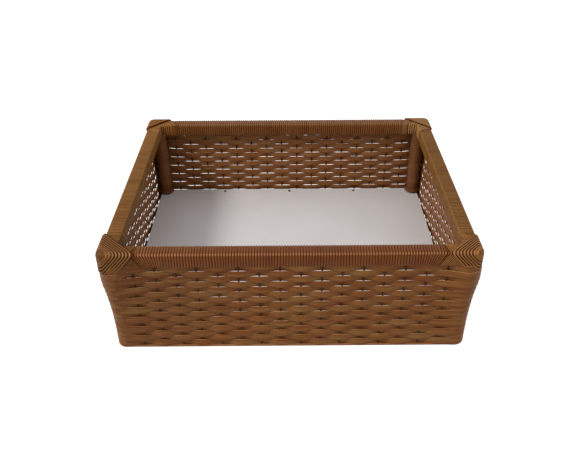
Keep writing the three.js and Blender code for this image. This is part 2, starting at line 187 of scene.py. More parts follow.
sky = bpy.data.worlds.new("pale_sky")
bpy.context.scene.world = sky
sky.use_nodes = True
sky_glow = sky.node_tree.nodes["Background"]
sky_glow.inputs["Color"].default_value = WHITE
sky_glow.inputs["Strength"].default_value = SKY_STRENGTH
white_sky = add_node(sky, "Background", {"Color": WHITE, "Strength": 1.0})
sky_choice = add_node(sky, "MixShader", {
    "Fac": looked_at(sky), 1: sky_glow.outputs[0], 2: white_sky.outputs[0],
})
feed(sky, sky.node_tree.nodes["World Output"].inputs["Surface"], sky_choice.outputs[0])
print("one lamp and a pale sky")

# %% Lay the ground
GROUND_SIZE = 8.0
GROUND_GREY = (0.6, 0.6, 0.6, 1.0)
GROUND_ROUGHNESS = 0.9
GROUND_GLOW = 0.8

bpy.ops.mesh.primitive_plane_add(size=GROUND_SIZE)
ground = bpy.context.object
ground.name = "ground"

ground_paint, shader = new_finish("white_ground", GROUND_ROUGHNESS)
shader["Base Color"].default_value = GROUND_GREY
shader["Emission Color"].default_value = WHITE
glow = maths(ground_paint, "MULTIPLY", looked_at(ground_paint), GROUND_GLOW)
feed(ground_paint, shader["Emission Strength"], glow)
ground.data.materials.append(ground_paint)
print("white ground, 8 m square")

# %% [markdown]
# ## Finishes
#
# All the strip is the same plastic, coloured in the melt: an ochre brown with redder and darker
# streaks along each length. The streaks follow the strip's own map, in which one axis is the
# distance along it in metres and the other goes from edge to edge. Height above the ground is
# mixed in, so that neighbouring rows don't carry the same streaks. Where a strip bends over a
# top edge it carries a painted highlight, so each strip also carries how strongly each point
# takes that highlight, and its back takes a little of it all over. The edges of every strip are
# painted darker, as painted shade between neighbouring strips, and the upper edge of the woven
# strand carries a strong painted highlight. The weave is darker near its front left corner.

# %% Colours and patterns
TONE_PLACES = (0.30, 0.50, 0.70)

def paint(red, green, blue):
    """A screen colour, 0 to 255, as the linear colour that a shader takes."""
    def linear(value):
        share = value / 255
        return share / 12.92 if share <= 0.04045 else ((share + 0.055) / 1.055) ** 2.4
    return (linear(red), linear(green), linear(blue), 1.0)

def grain(owner, space, scale, detail):
    return add_node(owner, "TexNoise", {"Scale": scale, "Detail": detail, "Vector": space}).outputs["Fac"]

def colour_ramp(owner, share, stops):
    ramp = add_node(owner, "ValToRGB", {"Fac": share})
    elements = ramp.color_ramp.elements
    while len(elements) < len(stops):
        elements.new(0.5)
    for element, (position, colour) in zip(elements, stops):
        element.position = position
        element.color = colour
    return ramp.outputs["Color"]

def mixed(owner, blend, factor, first, second):
    inputs = {"Factor": factor, "A": first, "B": second}
    return add_node(owner, "Mix", inputs, data_type="RGBA", blend_type=blend).outputs["Result"]

def between(owner, share, low, high):
    """Turns a share of 0 to 1 into a value between two others."""
    return add_node(owner, "MapRange", {"Value": share, "To Min": low, "To Max": high}).outputs["Result"]

def bumped(owner, height, strength, distance):
    inputs = {"Strength": strength, "Distance": distance, "Height": height}
    return add_node(owner, "Bump", inputs).outputs["Normal"]

# %% Darker corner
DARK_CORNER = (-200 * MM, -165 * MM, 115 * MM)
DARK_NEAR, DARK_FAR = 80 * MM, 170 * MM
DARK_CORNER_LEVEL = 0.80

def darken_corner(owner, place, colour):
    """Darkens a colour within a certain way of one corner of the basket."""
    distance = add_node(owner, "VectorMath", {0: place, 1: DARK_CORNER}, operation="DISTANCE")
    level = add_node(owner, "MapRange", {
        "Value": distance.outputs["Value"],
        "From Min": DARK_NEAR, "From Max": DARK_FAR, "To Min": DARK_CORNER_LEVEL,
    })
    inputs = {"Value": level.outputs["Result"], "Color": colour}
    return add_node(owner, "HueSaturation", inputs).outputs["Color"]

# %% Strip plastic
# A paler tone laid as a painted highlight where strips bend over top edges.
PAINTED_HIGHLIGHT_TONE = paint(206, 150, 108)
STREAK_SCALE_ACROSS = 0.6
FIBRE_SCALES = (90, 9, 160)
FIBRE_SHADES = [(0.3, (0.78, 0.76, 0.74, 1)), (0.7, (1.12, 1.10, 1.08, 1))]
EDGE_SHARE = 0.2
TOP_EDGE_START, TOP_EDGE_FULL = 0.96, 0.975
FIBRE_SMOOTHER, FIBRE_ROUGHER = 0.08, 0.12
FIBRE_BUMP, FIBRE_HEIGHT = 0.25, 0.2 * MM

def edge_stops(edge, top_edge_highlight):
    """Painted shade at both edges of a strip; a top edge can take a painted highlight instead."""
    shaded_edge, plain = (*edge, 1), (1, 1, 1, 1)
    stops = [(0.0, shaded_edge), (EDGE_SHARE, plain), (1 - EDGE_SHARE, plain), (TOP_EDGE_START, shaded_edge)]
    return [*stops, (TOP_EDGE_FULL, (*top_edge_highlight, 1) if top_edge_highlight else shaded_edge)]

def strip_finish(name, tones, edge, top_edge_highlight=None, roughness=0.38, sheen=0.12, streaks_per_metre=6,
                 layer_change=20, highlight_strength=0.6, many=False, dark_corner=False):
    """With many, each whole number on the map's second axis is one more strip side by side."""
    finish, shader = new_finish(name, roughness, specular=sheen)
    strip_map = add_node(finish, "UVMap", {}, uv_map="UVMap").outputs["UV"]
    place = add_node(finish, "TexCoord", {}).outputs["Object"]
    along, across = add_node(finish, "SeparateXYZ", {0: strip_map}).outputs[:2]
    height = add_node(finish, "SeparateXYZ", {0: place}).outputs["Z"]

    def pattern(scales, detail):
        """Grain with its own scale along the strip, across it and with the height."""
        parts = [maths(finish, "MULTIPLY", *pair) for pair in zip((along, across, height), scales)]
        space = add_node(finish, "CombineXYZ", dict(enumerate(parts))).outputs[0]
        return grain(finish, space, 1.0, detail)

    broad = pattern((streaks_per_metre, STREAK_SCALE_ACROSS, layer_change), 2.0)
    tone = colour_ramp(finish, broad, list(zip(TONE_PLACES, [paint(*tone) for tone in tones])))
    # The painted highlight: how strongly each point takes the paler tone.
    painted_highlight = add_node(finish, "Attribute", {}, attribute_name="painted_highlight").outputs["Fac"]
    highlight_share = maths(finish, "MULTIPLY", painted_highlight, highlight_strength)
    highlighted = mixed(finish, "MIX", highlight_share, tone, PAINTED_HIGHLIGHT_TONE)
    fibre = pattern(FIBRE_SCALES, 3.0)
    streaked = mixed(finish, "MULTIPLY", 1.0, highlighted, colour_ramp(finish, fibre, FIBRE_SHADES))
    within_strip = maths(finish, "FRACT", across) if many else across
    # Painted shade at the strip's edges, and a painted highlight on a cut top edge when given.
    edge_shade = colour_ramp(finish, within_strip, edge_stops(edge, top_edge_highlight))
    colour = mixed(finish, "MULTIPLY", 1.0, streaked, edge_shade)
    if dark_corner:
        colour = darken_corner(finish, place, colour)
    feed(finish, shader["Base Color"], colour)
    rough = between(finish, fibre, roughness - FIBRE_SMOOTHER, roughness + FIBRE_ROUGHER)
    feed(finish, shader["Roughness"], rough)
    feed(finish, shader["Normal"], bumped(finish, fibre, FIBRE_BUMP, FIBRE_HEIGHT))
    return finish

# %% Woven and wound plastic
# The woven strand's edges take painted shade, and its top edge a bright painted highlight.
woven_plastic = strip_finish(
    "woven_plastic", [(114, 63, 26), (126, 79, 38), (134, 94, 50)],
    (0.75, 0.71, 0.68), (1.9, 2.1, 2.6),
    roughness=0.45, streaks_per_metre=14, layer_change=160, dark_corner=True,
)
wound_plastic = strip_finish(
    "wound_plastic", [(112, 58, 15), (120, 67, 20), (126, 74, 26)],
    (0.50, 0.37, 0.29), roughness=0.36, sheen=0.14, streaks_per_metre=4,
)
# The rear and side rims use copies painted paler, as painted sheen on tops seen at a low angle.
rear_sheen_plastic = strip_finish(
    "rear_sheen_plastic", [(120, 70, 30), (129, 80, 38), (135, 88, 45)],
    (0.38, 0.30, 0.24), sheen=0.14, streaks_per_metre=4, highlight_strength=0.3,
)
side_sheen_plastic = strip_finish(
    "side_sheen_plastic", [(121, 79, 28), (130, 89, 36), (138, 96, 44)],
    (0.50, 0.39, 0.30), sheen=0.14, streaks_per_metre=4, highlight_strength=0.35,
)
post_plastic = strip_finish(
    "post_plastic", [(116, 70, 40), (124, 79, 48), (132, 88, 56)],
    (0.68, 0.62, 0.56), roughness=0.42, sheen=0.14, highlight_strength=0.3,
)
# Painted dark, as painted shade in the gaps between turns and loops.
shaded_under_plastic = strip_finish(
    "shaded_under_plastic", [(70, 34, 16), (82, 42, 20), (92, 50, 26)],
    (1, 1, 1), roughness=0.7, sheen=0.02,
)
# Painted darker than the strand, as painted shade where the stakes pass behind the rows.
shaded_stake_plastic = strip_finish(
    "shaded_stake_plastic", [(64, 36, 22), (78, 46, 28), (90, 56, 34)],
    (0.90, 0.86, 0.81), roughness=0.5, streaks_per_metre=20,
)

# %% Binding plastic
# Painted shade at the edges of the binding strips, dark as the gaps between them.
BINDING_EDGE_SHADE = (0.20, 0.14, 0.10)
# Copies of one binding finish, painted darker or lighter for how each corner is lit.
BINDING_TONES = {
    "dark": [(112, 68, 23), (123, 79, 30), (132, 90, 38)],
    "lit": [(137, 86, 38), (148, 98, 45), (157, 107, 54)],
    "sunny": [(154, 110, 64), (165, 121, 74), (174, 131, 83)],
}
CAP_TONES = {**BINDING_TONES, "dark": [(98, 59, 18), (107, 69, 24), (114, 77, 32)]}
# How strongly each binding copy takes the painted highlight.
BINDING_HIGHLIGHT_STRENGTH = {"dark": 0.35, "lit": 0.4, "sunny": 0.4}

binding_finishes, cap_finishes = {}, {}
for shade, highlight_strength in BINDING_HIGHLIGHT_STRENGTH.items():
    binding_finishes[shade] = strip_finish(
        f"{shade}_binding", BINDING_TONES[shade], BINDING_EDGE_SHADE, highlight_strength=highlight_strength,
    )
    cap_finishes[shade] = strip_finish(f"{shade}_cap", CAP_TONES[shade], BINDING_EDGE_SHADE, many=True)
print("thirteen strip finishes")

# %% [markdown]
# ## A strip laid along a route
#
# Every strip starts flat: a long grid, given its thickness by Solidify, which makes a closed
# body with a front, a back and two thin edges. Then each station of the grid is moved to its
# place on the route and turned to face outwards there. The faces are crowned a little, since
# extruded strip is thicker in the middle than at its edges, and that crown catches the light.

# %% Lay a strip
POINTS_ACROSS = 4
# The back of every strip takes a little painted highlight all over.
BACK_HIGHLIGHT = 0.2
WELD_DISTANCE = 0.002 * MM

def select_only(*pieces):
    bpy.ops.object.select_all(action="DESELECT")
    for piece in pieces:
        piece.select_set(True)
    bpy.context.view_layer.objects.active = pieces[0]

def object_mode():
    bpy.ops.object.mode_set(mode="OBJECT")

def pick(piece, kind, test):
    """Selects the faces or edges of the active piece that pass a test, and stays in edit mode."""
    bpy.ops.object.mode_set(mode="EDIT")
    bpy.ops.mesh.select_mode(type=kind)
    bpy.ops.mesh.select_all(action="DESELECT")
    object_mode()
    for part in piece.data.polygons if kind == "FACE" else piece.data.edges:
        part.select = test(part)
    bpy.ops.object.mode_set(mode="EDIT")

def size_and_place(piece, size, place):
    """Scales and moves a piece made at the origin, and leaves its own origin there."""
    piece.scale = size
    piece.location = place
    bpy.ops.object.transform_apply(location=True, rotation=False, scale=True)

def spread_map(strip, length):
    """Makes one axis of the strip's map the distance along it, in metres."""
    for corner in strip.data.uv_layers["UVMap"].data:
        corner.uv.x *= length

def close_ends(strip, stations):
    """Takes the two end faces off a strip that meets its own start, and welds it there."""
    ends = ({0}, {stations - 1})
    pick(strip, "FACE", lambda face: {corner % stations for corner in face.vertices} in ends)
    bpy.ops.mesh.delete(type="ONLY_FACE")
    bpy.ops.mesh.select_all(action="SELECT")
    bpy.ops.mesh.remove_doubles(threshold=WELD_DISTANCE)
    object_mode()

def edge_highlight(out):
    """Painted highlight: 1 where a strip faces halfway between up and level, as on a top edge, 0 on the
    flat.
    """
    return (2 * max(out.z, 0) * math.hypot(out.x, out.y)) ** 2

def lay_strip(route, facings, widths, thickness, crown, closed=False):
    count = len(route)
    stations = count + 1 if closed else count
    bpy.ops.mesh.primitive_grid_add(x_subdivisions=stations - 1, y_subdivisions=POINTS_ACROSS - 1, size=1)
    strip = bpy.context.object
    strip.modifiers.new("thickness", "SOLIDIFY").thickness = thickness
    bpy.ops.object.modifier_apply(modifier="thickness")
    vertices = strip.data.vertices
    # Each point also carries how strongly it takes the painted highlight.
    painted_highlight = strip.data.attributes.new("painted_highlight", "FLOAT", "POINT").data
    back = len(vertices) // 2
    length = 0
    for station in range(stations):
        here = station % count
        before = route[(here - 1) % count] if closed else route[max(here - 1, 0)]
        after = route[(here + 1) % count] if closed else route[min(here + 1, count - 1)]
        length += 0 if station == 0 else (route[here] - route[(here - 1) % count]).length
        along = (after - before).normalized()
        side = facings[here].cross(along).normalized()
        out = along.cross(side)
        for k in range(POINTS_ACROSS):
            across = 2 * k / (POINTS_ACROSS - 1) - 1
            middle = route[here] + side * (across * widths[here] / 2)
            rise = out * (thickness / 2 + crown * (1 - across * across))
            vertices[k * stations + station].co = middle + rise
            vertices[back + k * stations + station].co = middle - rise
            painted_highlight[k * stations + station].value = edge_highlight(out) * (1 - across * across)
            painted_highlight[back + k * stations + station].value = BACK_HIGHLIGHT
    spread_map(strip, length)
    if closed:
        close_ends(strip, stations)
    return strip

# %% Join and finish pieces
EDGE_ANGLE = math.radians(50)

def coat(piece, finish):
    piece.data.materials.clear()
    piece.data.materials.append(finish)

def join_pieces(parts):
    select_only(*parts)
    bpy.ops.object.join()
    return bpy.context.object

def finish_piece(piece, name, finish, slot, *nodes):
    """Names a piece and hands it over; with no finish it keeps those that it has."""
    piece.name = name
    piece.data.name = name
    if finish:
        coat(piece, finish)
    select_only(piece)
    bpy.ops.object.shade_smooth_by_angle(angle=EDGE_ANGLE)
    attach(piece, "root")
    if nodes:
        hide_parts(*nodes)
    return piece

# %% [markdown]
# ## Walls and corners as places
#
# The four walls are alike, so a route is worked out once, in a wall's own directions: along the
# wall, in from its outer face, and up. A matrix then stands it on each side in turn. The
# corners get the same: in from each of the two outer faces, and up.

# %% Wall and corner frames
def stand_at(x, y, quarter):
    return Matrix.Translation((x, y, 0)) @ Matrix.Rotation(quarter * math.pi / 2, 4, "Z")

WALLS = [
    ("front", half_width, stand_at(0, -half_depth, 0), LONG_WALL_STAKES),
    ("right", half_depth, stand_at(half_width, 0, 1), SHORT_WALL_STAKES),
    ("rear", half_width, stand_at(0, half_depth, 2), LONG_WALL_STAKES),
    ("left", half_depth, stand_at(-half_width, 0, 3), SHORT_WALL_STAKES),
]
CORNERS = {
    "front_left": stand_at(-half_width, -half_depth, 0),
    "front_right": stand_at(half_width, -half_depth, 1),
    "rear_right": stand_at(half_width, half_depth, 2),
    "rear_left": stand_at(-half_width, half_depth, 3),
}

def stake_places(half_length, stakes):
    reach = half_length - FIRST_STAKE_FROM_CORNER
    return [reach * (2 * i / (stakes - 1) - 1) for i in range(stakes)]

# %% [markdown]
# ## The woven rows
#
# Each row is one strand that goes round all four walls, outside one stake and inside the next,
# and its neighbours do the opposite. Between two stakes it swings across in a smooth wave,
# because the strip is springy. Where a row passes inside a stake and the row below passes
# outside, a lens-shaped slit opens that the eye can look through from above. The strand spreads
# where a stake presses on it, by a different amount on each wall, and its top edge leans in,
# which keeps the slits thin. At the corners the bindings push the rows out: the top row about as
# far as their face, and the rows below a little further. No hand weaves evenly: the rows wander.

# %% Weave the rows
STRAND_THICKNESS = 1.0 * MM
STRAND_CROWN = 0.15 * MM
STRAND_SWING = {"front": 3.2 * MM, "right": 1.9 * MM, "rear": 2.8 * MM, "left": 1.9 * MM}
STRAND_WIDTH_SHARE = 0.955
WALL_SKIN = 0.35 * MM
STRAND_SPREAD = {"front": 1.0 * MM, "right": 2.8 * MM, "rear": 1.2 * MM, "left": 2.4 * MM}
LOWER_ROW_SPREAD = 1.1 * MM
TIGHT_REAR_ROWS = 2
TIGHT_SPREAD = 1.4 * MM
TIGHT_END_SPREAD = 0.5 * MM
TIGHT_END_SHARE = 0.35
TOP_ROW_TUCK = 1.0 * MM
STRAND_WANDER = 0.22 * MM
WANDER_WAVES = (3, 7, 11, 17)
TOP_ROW_LEAN = 0.03
BOTTOM_ROW_LEAN = 0.10
LEAN_CHANGE = 0.03
LEAN_WAVES = (5, 9, 14, 23)
STATIONS_PER_STAKE = 6
STATIONS_PER_CORNER = 6

CORNER_SWELL = 9.5 * MM
GREATEST_SWELL = 5.9 * MM
TOP_ROW_SWELL = 4.7 * MM
SWOLLEN_SPREAD = 1.5 * MM
SWOLLEN_ROWS = 14
SWELL_LENGTH = 32 * MM
SWELL_FALL = 2.5
LEAST_WAVE = 0.4
SEED = 7

outer_depth = STRAND_THICKNESS / 2 + WALL_SKIN
strand_width = row_pitch * STRAND_WIDTH_SHARE
last_row = len(row_boxes) - 1
corner_angles = [step / STATIONS_PER_CORNER * math.pi / 2 for step in range(STATIONS_PER_CORNER)]
corner_ways_out = [Vector((math.sin(angle), -math.cos(angle), 0)) for angle in corner_angles]
dice = random.Random(SEED)

def slow_noise(dice, waves):
    """A smooth random line over one turn round the basket, between about -1 and 1."""
    parts = [(dice.uniform(LEAST_WAVE, 1), n, dice.uniform(0, 2 * math.pi)) for n in waves]
    total = sum(size for size, n, phase in parts)
    return lambda share: sum(s * math.sin(2 * math.pi * n * share + p) for s, n, p in parts) / total

def swell_at(row, from_corner):
    """How far a row is pushed out near a corner by the binding above it."""
    below_binding = min(GREATEST_SWELL, CORNER_SWELL * max(0, 1 - row / SWOLLEN_ROWS) ** SWELL_FALL)
    length_share = max(0, 1 - from_corner / SWELL_LENGTH) ** 2
    return (below_binding if row else TOP_ROW_SWELL) * length_share

def spread_at(side, row, share_along):
    """How much wider a row is where a stake presses on it; share_along is 0 to 1 along a wall."""
    spread = STRAND_SPREAD[side]
    if side == "front":
        spread += LOWER_ROW_SPREAD * row / last_row
        spread += TIGHT_END_SPREAD * max(0, 1 - share_along / TIGHT_END_SHARE)
    if side == "rear" and row < TIGHT_REAR_ROWS:
        spread += TIGHT_SPREAD
    return spread

def row_route(row):
    """Middle line of one row, with the way out of the wall and the width at each station."""
    route, facings, widths = [], [], []
    bend = WALL_CORNER_RADIUS - outer_depth + swell_at(row, 0)
    for side, half_length, stand, stakes in WALLS:
        turn = stand.to_3x3()
        corner_start = half_length - WALL_CORNER_RADIUS
        swing = STRAND_SWING[side]
        inner_depth = outer_depth + swing
        knots = [(-corner_start, outer_depth)]
        for stake, x in enumerate(stake_places(half_length, stakes)):
            knots.append((x, outer_depth if (row + stake) % 2 == 0 else inner_depth))
        knots.append((corner_start, outer_depth))
        for (x0, depth0), (x1, depth1) in zip(knots, knots[1:]):
            for step in range(STATIONS_PER_STAKE):
                share = step / STATIONS_PER_STAKE
                x = x0 + (x1 - x0) * share
                depth = depth0 + (depth1 - depth0) * (1 - math.cos(math.pi * share)) / 2
                pressed = abs(2 * (depth - outer_depth) / swing - 1)
                swell = swell_at(row, corner_start - abs(x))
                route.append(stand @ Vector((x, depth - swell, 0)))
                facings.append(turn @ Vector((0, -1, 0)))
                spread = spread_at(side, row, (x / half_length + 1) / 2) * pressed ** 2
                spread = max(spread, SWOLLEN_SPREAD * swell / GREATEST_SWELL)
                widths.append(strand_width + spread)
        centre = Vector((corner_start, WALL_CORNER_RADIUS, 0))
        spread = SWOLLEN_SPREAD * swell_at(row, 0) / GREATEST_SWELL
        for out in corner_ways_out:
            route.append(stand @ (centre + out * bend))
            facings.append(turn @ out)
            widths.append(strand_width + spread)
    return route, facings, widths

for row, (low, high) in enumerate(row_boxes):
    route, facings, widths = row_route(row)
    wander = slow_noise(dice, WANDER_WAVES)
    lean = slow_noise(dice, LEAN_WAVES)
    tuck = TOP_ROW_TUCK if row == 0 else 0
    middle_height = (low.z + high.z + tuck) / 2
    widths = [width + tuck for width in widths]
    row_lean = TOP_ROW_LEAN + (BOTTOM_ROW_LEAN - TOP_ROW_LEAN) * row / last_row
    for i in range(len(route)):
        share = i / len(route)
        route[i].z = middle_height + STRAND_WANDER * wander(share)
        slope = row_lean + LEAN_CHANGE * lean(share)
        facings[i] = (facings[i] + Vector((0, 0, slope))).normalized()
    strand = lay_strip(route, facings, widths, STRAND_THICKNESS, STRAND_CROWN, closed=True)
    name = f"woven_row_{row + 1:02d}"
    finish_piece(strand, name, woven_plastic, "woven_strand", f"weaver_row_{row + 1:02d}")
print(f"{len(row_boxes)} rows of {len(strand.data.polygons)} faces each")

# %% [markdown]
# ## Stakes and border
#
# The stakes are round cord, pressed flat on the short walls, where the strands swing less. For
# each wall one is modelled from a cylinder and copied along it, painted darker than the strand as
# painted shade where the stakes pass behind the rows. At the foot the cords turn over and run
# along the wall one behind the other, which gives the smooth rolled border that the basket
# stands on, and the whole border carries a little painted highlight.

# %% Stakes
STAKE_WIDTH = 2.0 * MM
STAKE_SIDES = 8
STAKE_NUDGE = 0.3 * MM
BORDER_THICKNESS = 3.0 * MM
BORDER_SIDES = 10
BORDER_WAVE = 0.5 * MM
BORDER_OVERLAP = 0.7
BORDER_STATIONS_PER_STAKE = 3
BORDER_HIGHLIGHT = 0.35

def model_stake(depth, thickness):
    height = weave_top - BORDER_THICKNESS / 2
    bpy.ops.mesh.primitive_cylinder_add(vertices=STAKE_SIDES, radius=0.5, depth=1)
    stake = bpy.context.object
    middle = (0, depth, BORDER_THICKNESS / 2 + height / 2)
    size_and_place(stake, (STAKE_WIDTH, thickness, height), middle)
    spread_map(stake, height)
    return stake

def copy_of(piece, move):
    copy = bpy.data.objects.new("copy", piece.data.copy())
    bpy.context.scene.collection.objects.link(copy)
    copy.data.transform(move)
    return copy

for side, half_length, stand, stakes in WALLS:
    swing = STRAND_SWING[side]
    first_stake = model_stake(outer_depth + swing / 2, swing - STRAND_THICKNESS)
    cords = []
    for x in stake_places(half_length, stakes):
        nudge = dice.uniform(-STAKE_NUDGE, STAKE_NUDGE)
        cords.append(copy_of(first_stake, stand @ Matrix.Translation((x + nudge, 0, 0))))
    wall_stakes = join_pieces(cords)
    finish_piece(wall_stakes, f"stakes_{side}_cords", shaded_stake_plastic, "stake_cord", f"stakes_{side}")
    bpy.data.objects.remove(first_stake)
print("stakes on four walls")

# %% Border
def border_route(phase, inset):
    """One cord of the border: round the foot of the basket, weaving in and out a little."""
    route = []
    bend = WALL_CORNER_RADIUS - BORDER_THICKNESS / 2 - inset
    for side, half_length, stand, stakes in WALLS:
        corner_start = half_length - WALL_CORNER_RADIUS
        steps = (stakes + 1) * BORDER_STATIONS_PER_STAKE
        for step in range(steps):
            x = corner_start * (2 * step / steps - 1)
            wave = math.sin(math.pi * (step / BORDER_STATIONS_PER_STAKE + phase))
            depth = BORDER_THICKNESS / 2 + inset + BORDER_WAVE * (1 + wave) / 2
            height = BORDER_THICKNESS / 2 + BORDER_WAVE * (1 - wave) / 2
            route.append(stand @ Vector((x, depth, height)))
        centre = Vector((corner_start, WALL_CORNER_RADIUS, BORDER_THICKNESS / 2))
        route += [stand @ (centre + out * bend) for out in corner_ways_out]
    return route

def round_cord(route):
    """A round cord along a closed route, from a torus whose rings are moved to their places."""
    bpy.ops.mesh.primitive_torus_add(major_segments=len(route), minor_segments=BORDER_SIDES)
    cord = bpy.context.object
    vertices = cord.data.vertices
    up = Vector((0, 0, 1))
    for ring, place in enumerate(route):
        before = route[ring - 1]
        after = route[(ring + 1) % len(route)]
        outwards = (after - before).normalized().cross(up)
        for k in range(BORDER_SIDES):
            angle = 2 * math.pi * k / BORDER_SIDES
            offset = outwards * math.cos(angle) + up * math.sin(angle)
            vertices[ring * BORDER_SIDES + k].co = place + offset * BORDER_THICKNESS / 2
    spread_map(cord, sum((route[i] - route[i - 1]).length for i in range(len(route))))
    return cord

inner_route = border_route(1, BORDER_THICKNESS * BORDER_OVERLAP)
border = join_pieces([round_cord(border_route(0, 0)), round_cord(inner_route)])
# The whole border takes a little painted highlight.
for point in border.data.attributes.new("painted_highlight", "FLOAT", "POINT").data:
    point.value = BORDER_HIGHLIGHT
finish_piece(border, "border_cord", woven_plastic, "stake_cord")
print(f"border of {len(border.data.polygons)} faces")

# %% [markdown]
# ## Winding the rim
#
# The rim is a bar wound with one long strip, about a hundred and ten turns on a long side.
# The route of a winding goes up the outer face, in over the top, down the inner face and back
# along the underside, where it steps over to the next turn. Near the corners the turns fan out:
# they lean away from the corner, more the nearer they are to it, because the binding there
# pulled them aside.

# %% Route of a winding
TURN_PITCH = 3.0 * MM
RIM_EDGE_RADIUS = 1.7 * MM
RIM_BULGE = 0.75 * MM
RIM_STRIP_THICKNESS = 0.7 * MM
RIM_STRIP_CROWN = 0.5 * MM
RIM_STRIP_SHARE = 0.82
STATIONS_PER_BEND = 4
STATIONS_PER_TURN = 4 * STATIONS_PER_BEND
FACE_FAN_START, FACE_FAN_END = 12 * MM, 64 * MM
TOP_FAN_START, TOP_FAN_END = 14 * MM, 40 * MM

def fan_lean(distance, start, end):
    """Slope of a turn at this distance from the corner: 1 is 45 degrees, 0 is square."""
    return min(1, max(0, (end - distance) / (end - start)))

def bar_section(half_side, radius):
    """Stations round a square bar with rounded edges: where each lies, and which way it faces."""
    stations = []
    flat = half_side - radius
    for quarter, (depth, height) in enumerate([(-flat, -flat), (-flat, flat), (flat, flat), (flat, -flat)]):
        for part in range(STATIONS_PER_BEND):
            angle = math.pi / 2 * (quarter + part / (STATIONS_PER_BEND - 1))
            facing = Vector((0, -math.sin(angle), -math.cos(angle)))
            stations.append((Vector((0, depth, height)) + facing * radius, facing))
    return stations

def winding_route(half_length, first, turns, wobble):
    """Turns that start at a distance from the wall's left corner, in the wall's directions."""
    half_side = rim_side / 2
    skin = RIM_STRIP_THICKNESS / 2 + RIM_STRIP_CROWN
    section = bar_section(half_side + RIM_BULGE - skin, RIM_EDGE_RADIUS)
    centre = Vector((0, half_side, rim_underside + half_side))
    route, facings = [], []
    for turn in range(turns):
        distance = first + (turn + 0.5) * TURN_PITCH
        nearest = min(distance, 2 * half_length - distance)
        away = 1 if distance < half_length else -1
        face_lean = fan_lean(nearest, FACE_FAN_START, FACE_FAN_END)
        top_lean = fan_lean(nearest, TOP_FAN_START, TOP_FAN_END)
        for place, facing in section:
            depth = place.y + half_side
            drop = half_side - place.z
            shift = away * (face_lean * drop * (1 - depth / rim_side) + top_lean * depth)
            shift += wobble(distance / half_length / 2) * (depth - drop)
            route.append(centre + place + Vector((distance - half_length + shift, 0, 0)))
            facings.append(facing)
    return route, facings

def widths_from_spacing(route, facings, stations_per_turn, share):
    """Each station is as wide as the way to the next turn, square to the strip."""
    widths = []
    last = len(route) - stations_per_turn - 1
    for i in range(len(route)):
        j = min(i, last)
        along = (route[j + 1] - route[j - 1 if j else 0]).normalized()
        side = facings[j].cross(along).normalized()
        widths.append(abs((route[j + stations_per_turn] - route[j]).dot(side)) * share)
    return widths

def wind_bar(half_length, first, turns, wobble, stand):
    route, facings = winding_route(half_length, first, turns, wobble)
    widths = widths_from_spacing(route, facings, STATIONS_PER_TURN, RIM_STRIP_SHARE)
    route = [stand @ place for place in route]
    facings = [stand.to_3x3() @ facing for facing in facings]
    return lay_strip(route, facings, widths, RIM_STRIP_THICKNESS, RIM_STRIP_CROWN)

# %% Layer under a winding
UNDER_LAYER_DEPTH = 0.2 * MM
UNDER_LAYER_EDGE = 2 * MM
UNDER_LAYER_SEGMENTS = 2

def under_layer(length, stand):
    """The first layer of strip on the bar, painted dark as painted shade, which shows only between two
    turns.
    """
    side = rim_side - 2 * UNDER_LAYER_DEPTH
    bpy.ops.mesh.primitive_cube_add(size=1)
    layer = bpy.context.object
    middle = (0, rim_side / 2, rim_underside + rim_side / 2)
    size_and_place(layer, (length, side, side), middle)
    bpy.ops.object.mode_set(mode="EDIT")
    bpy.ops.mesh.select_all(action="SELECT")
    bpy.ops.mesh.bevel(offset=UNDER_LAYER_EDGE, segments=UNDER_LAYER_SEGMENTS, affect="EDGES")
    object_mode()
    layer.data.transform(stand)
    coat(layer, shaded_under_plastic)
    return layer

# %% Wind the four sides
BINDING_REACH = 33 * MM
WOBBLE_SLOPE = 0.05
WOBBLE_WAVES = (2, 5, 9, 14)
# The paler rear and side finishes carry painted sheen.
RIM_FINISHES = {
    "front": wound_plastic, "right": side_sheen_plastic, "rear": rear_sheen_plastic, "left": side_sheen_plastic,
}

wobbles, winding_starts = {}, {}
for side, half_length, stand, stakes in WALLS:
    wobble = slow_noise(dice, WOBBLE_WAVES)
    wobbles[side] = lambda share, wobble=wobble: WOBBLE_SLOPE * wobble(share)
    turns = round(2 * (half_length - BINDING_REACH) / TURN_PITCH)
    first = half_length - turns * TURN_PITCH / 2
    winding_starts[side] = first
    turns_piece = wind_bar(half_length, first, turns, wobbles[side], stand)
    layer = under_layer(2 * (half_length - UNDER_LAYER_DEPTH), stand)
    coat(turns_piece, RIM_FINISHES[side])
    winding = join_pieces([turns_piece, layer])
    finish_piece(winding, f"rim_winding_{side}", None, "wrap_strip", f"rim_wrap_{side}")
    print(f"{winding.name}: {turns} turns, {len(winding.data.polygons)} faces")

# %% [markdown]
# ## Post windings
#
# Each post is wound in the same way with a flatter strip, on a round tube, so it looks almost
# smooth. At its foot a second layer of two turns makes the thicker cuff that stands on the
# board.

# %% Wind the posts
POST_STATIONS = 16
CUFF_TURNS = 2
POST_STRIP_THICKNESS = 0.6 * MM
POST_STRIP_CROWN = 0.12 * MM
POST_STRIP_SHARE = 0.98
POST_STRIP_GAP = 0.4 * MM
CUFF_STEP = 2.4 * MM

def post_route(centre, radius, bottom, turns):
    route, facings = [], []
    for station in range(turns * POST_STATIONS + 1):
        angle = 2 * math.pi * station / POST_STATIONS
        out = Vector((math.cos(angle), math.sin(angle), 0))
        rise = TURN_PITCH * (station / POST_STATIONS + 0.5)
        route.append(Vector((centre.x, centre.y, bottom + rise)) + out * radius)
        facings.append(out)
    return route, facings

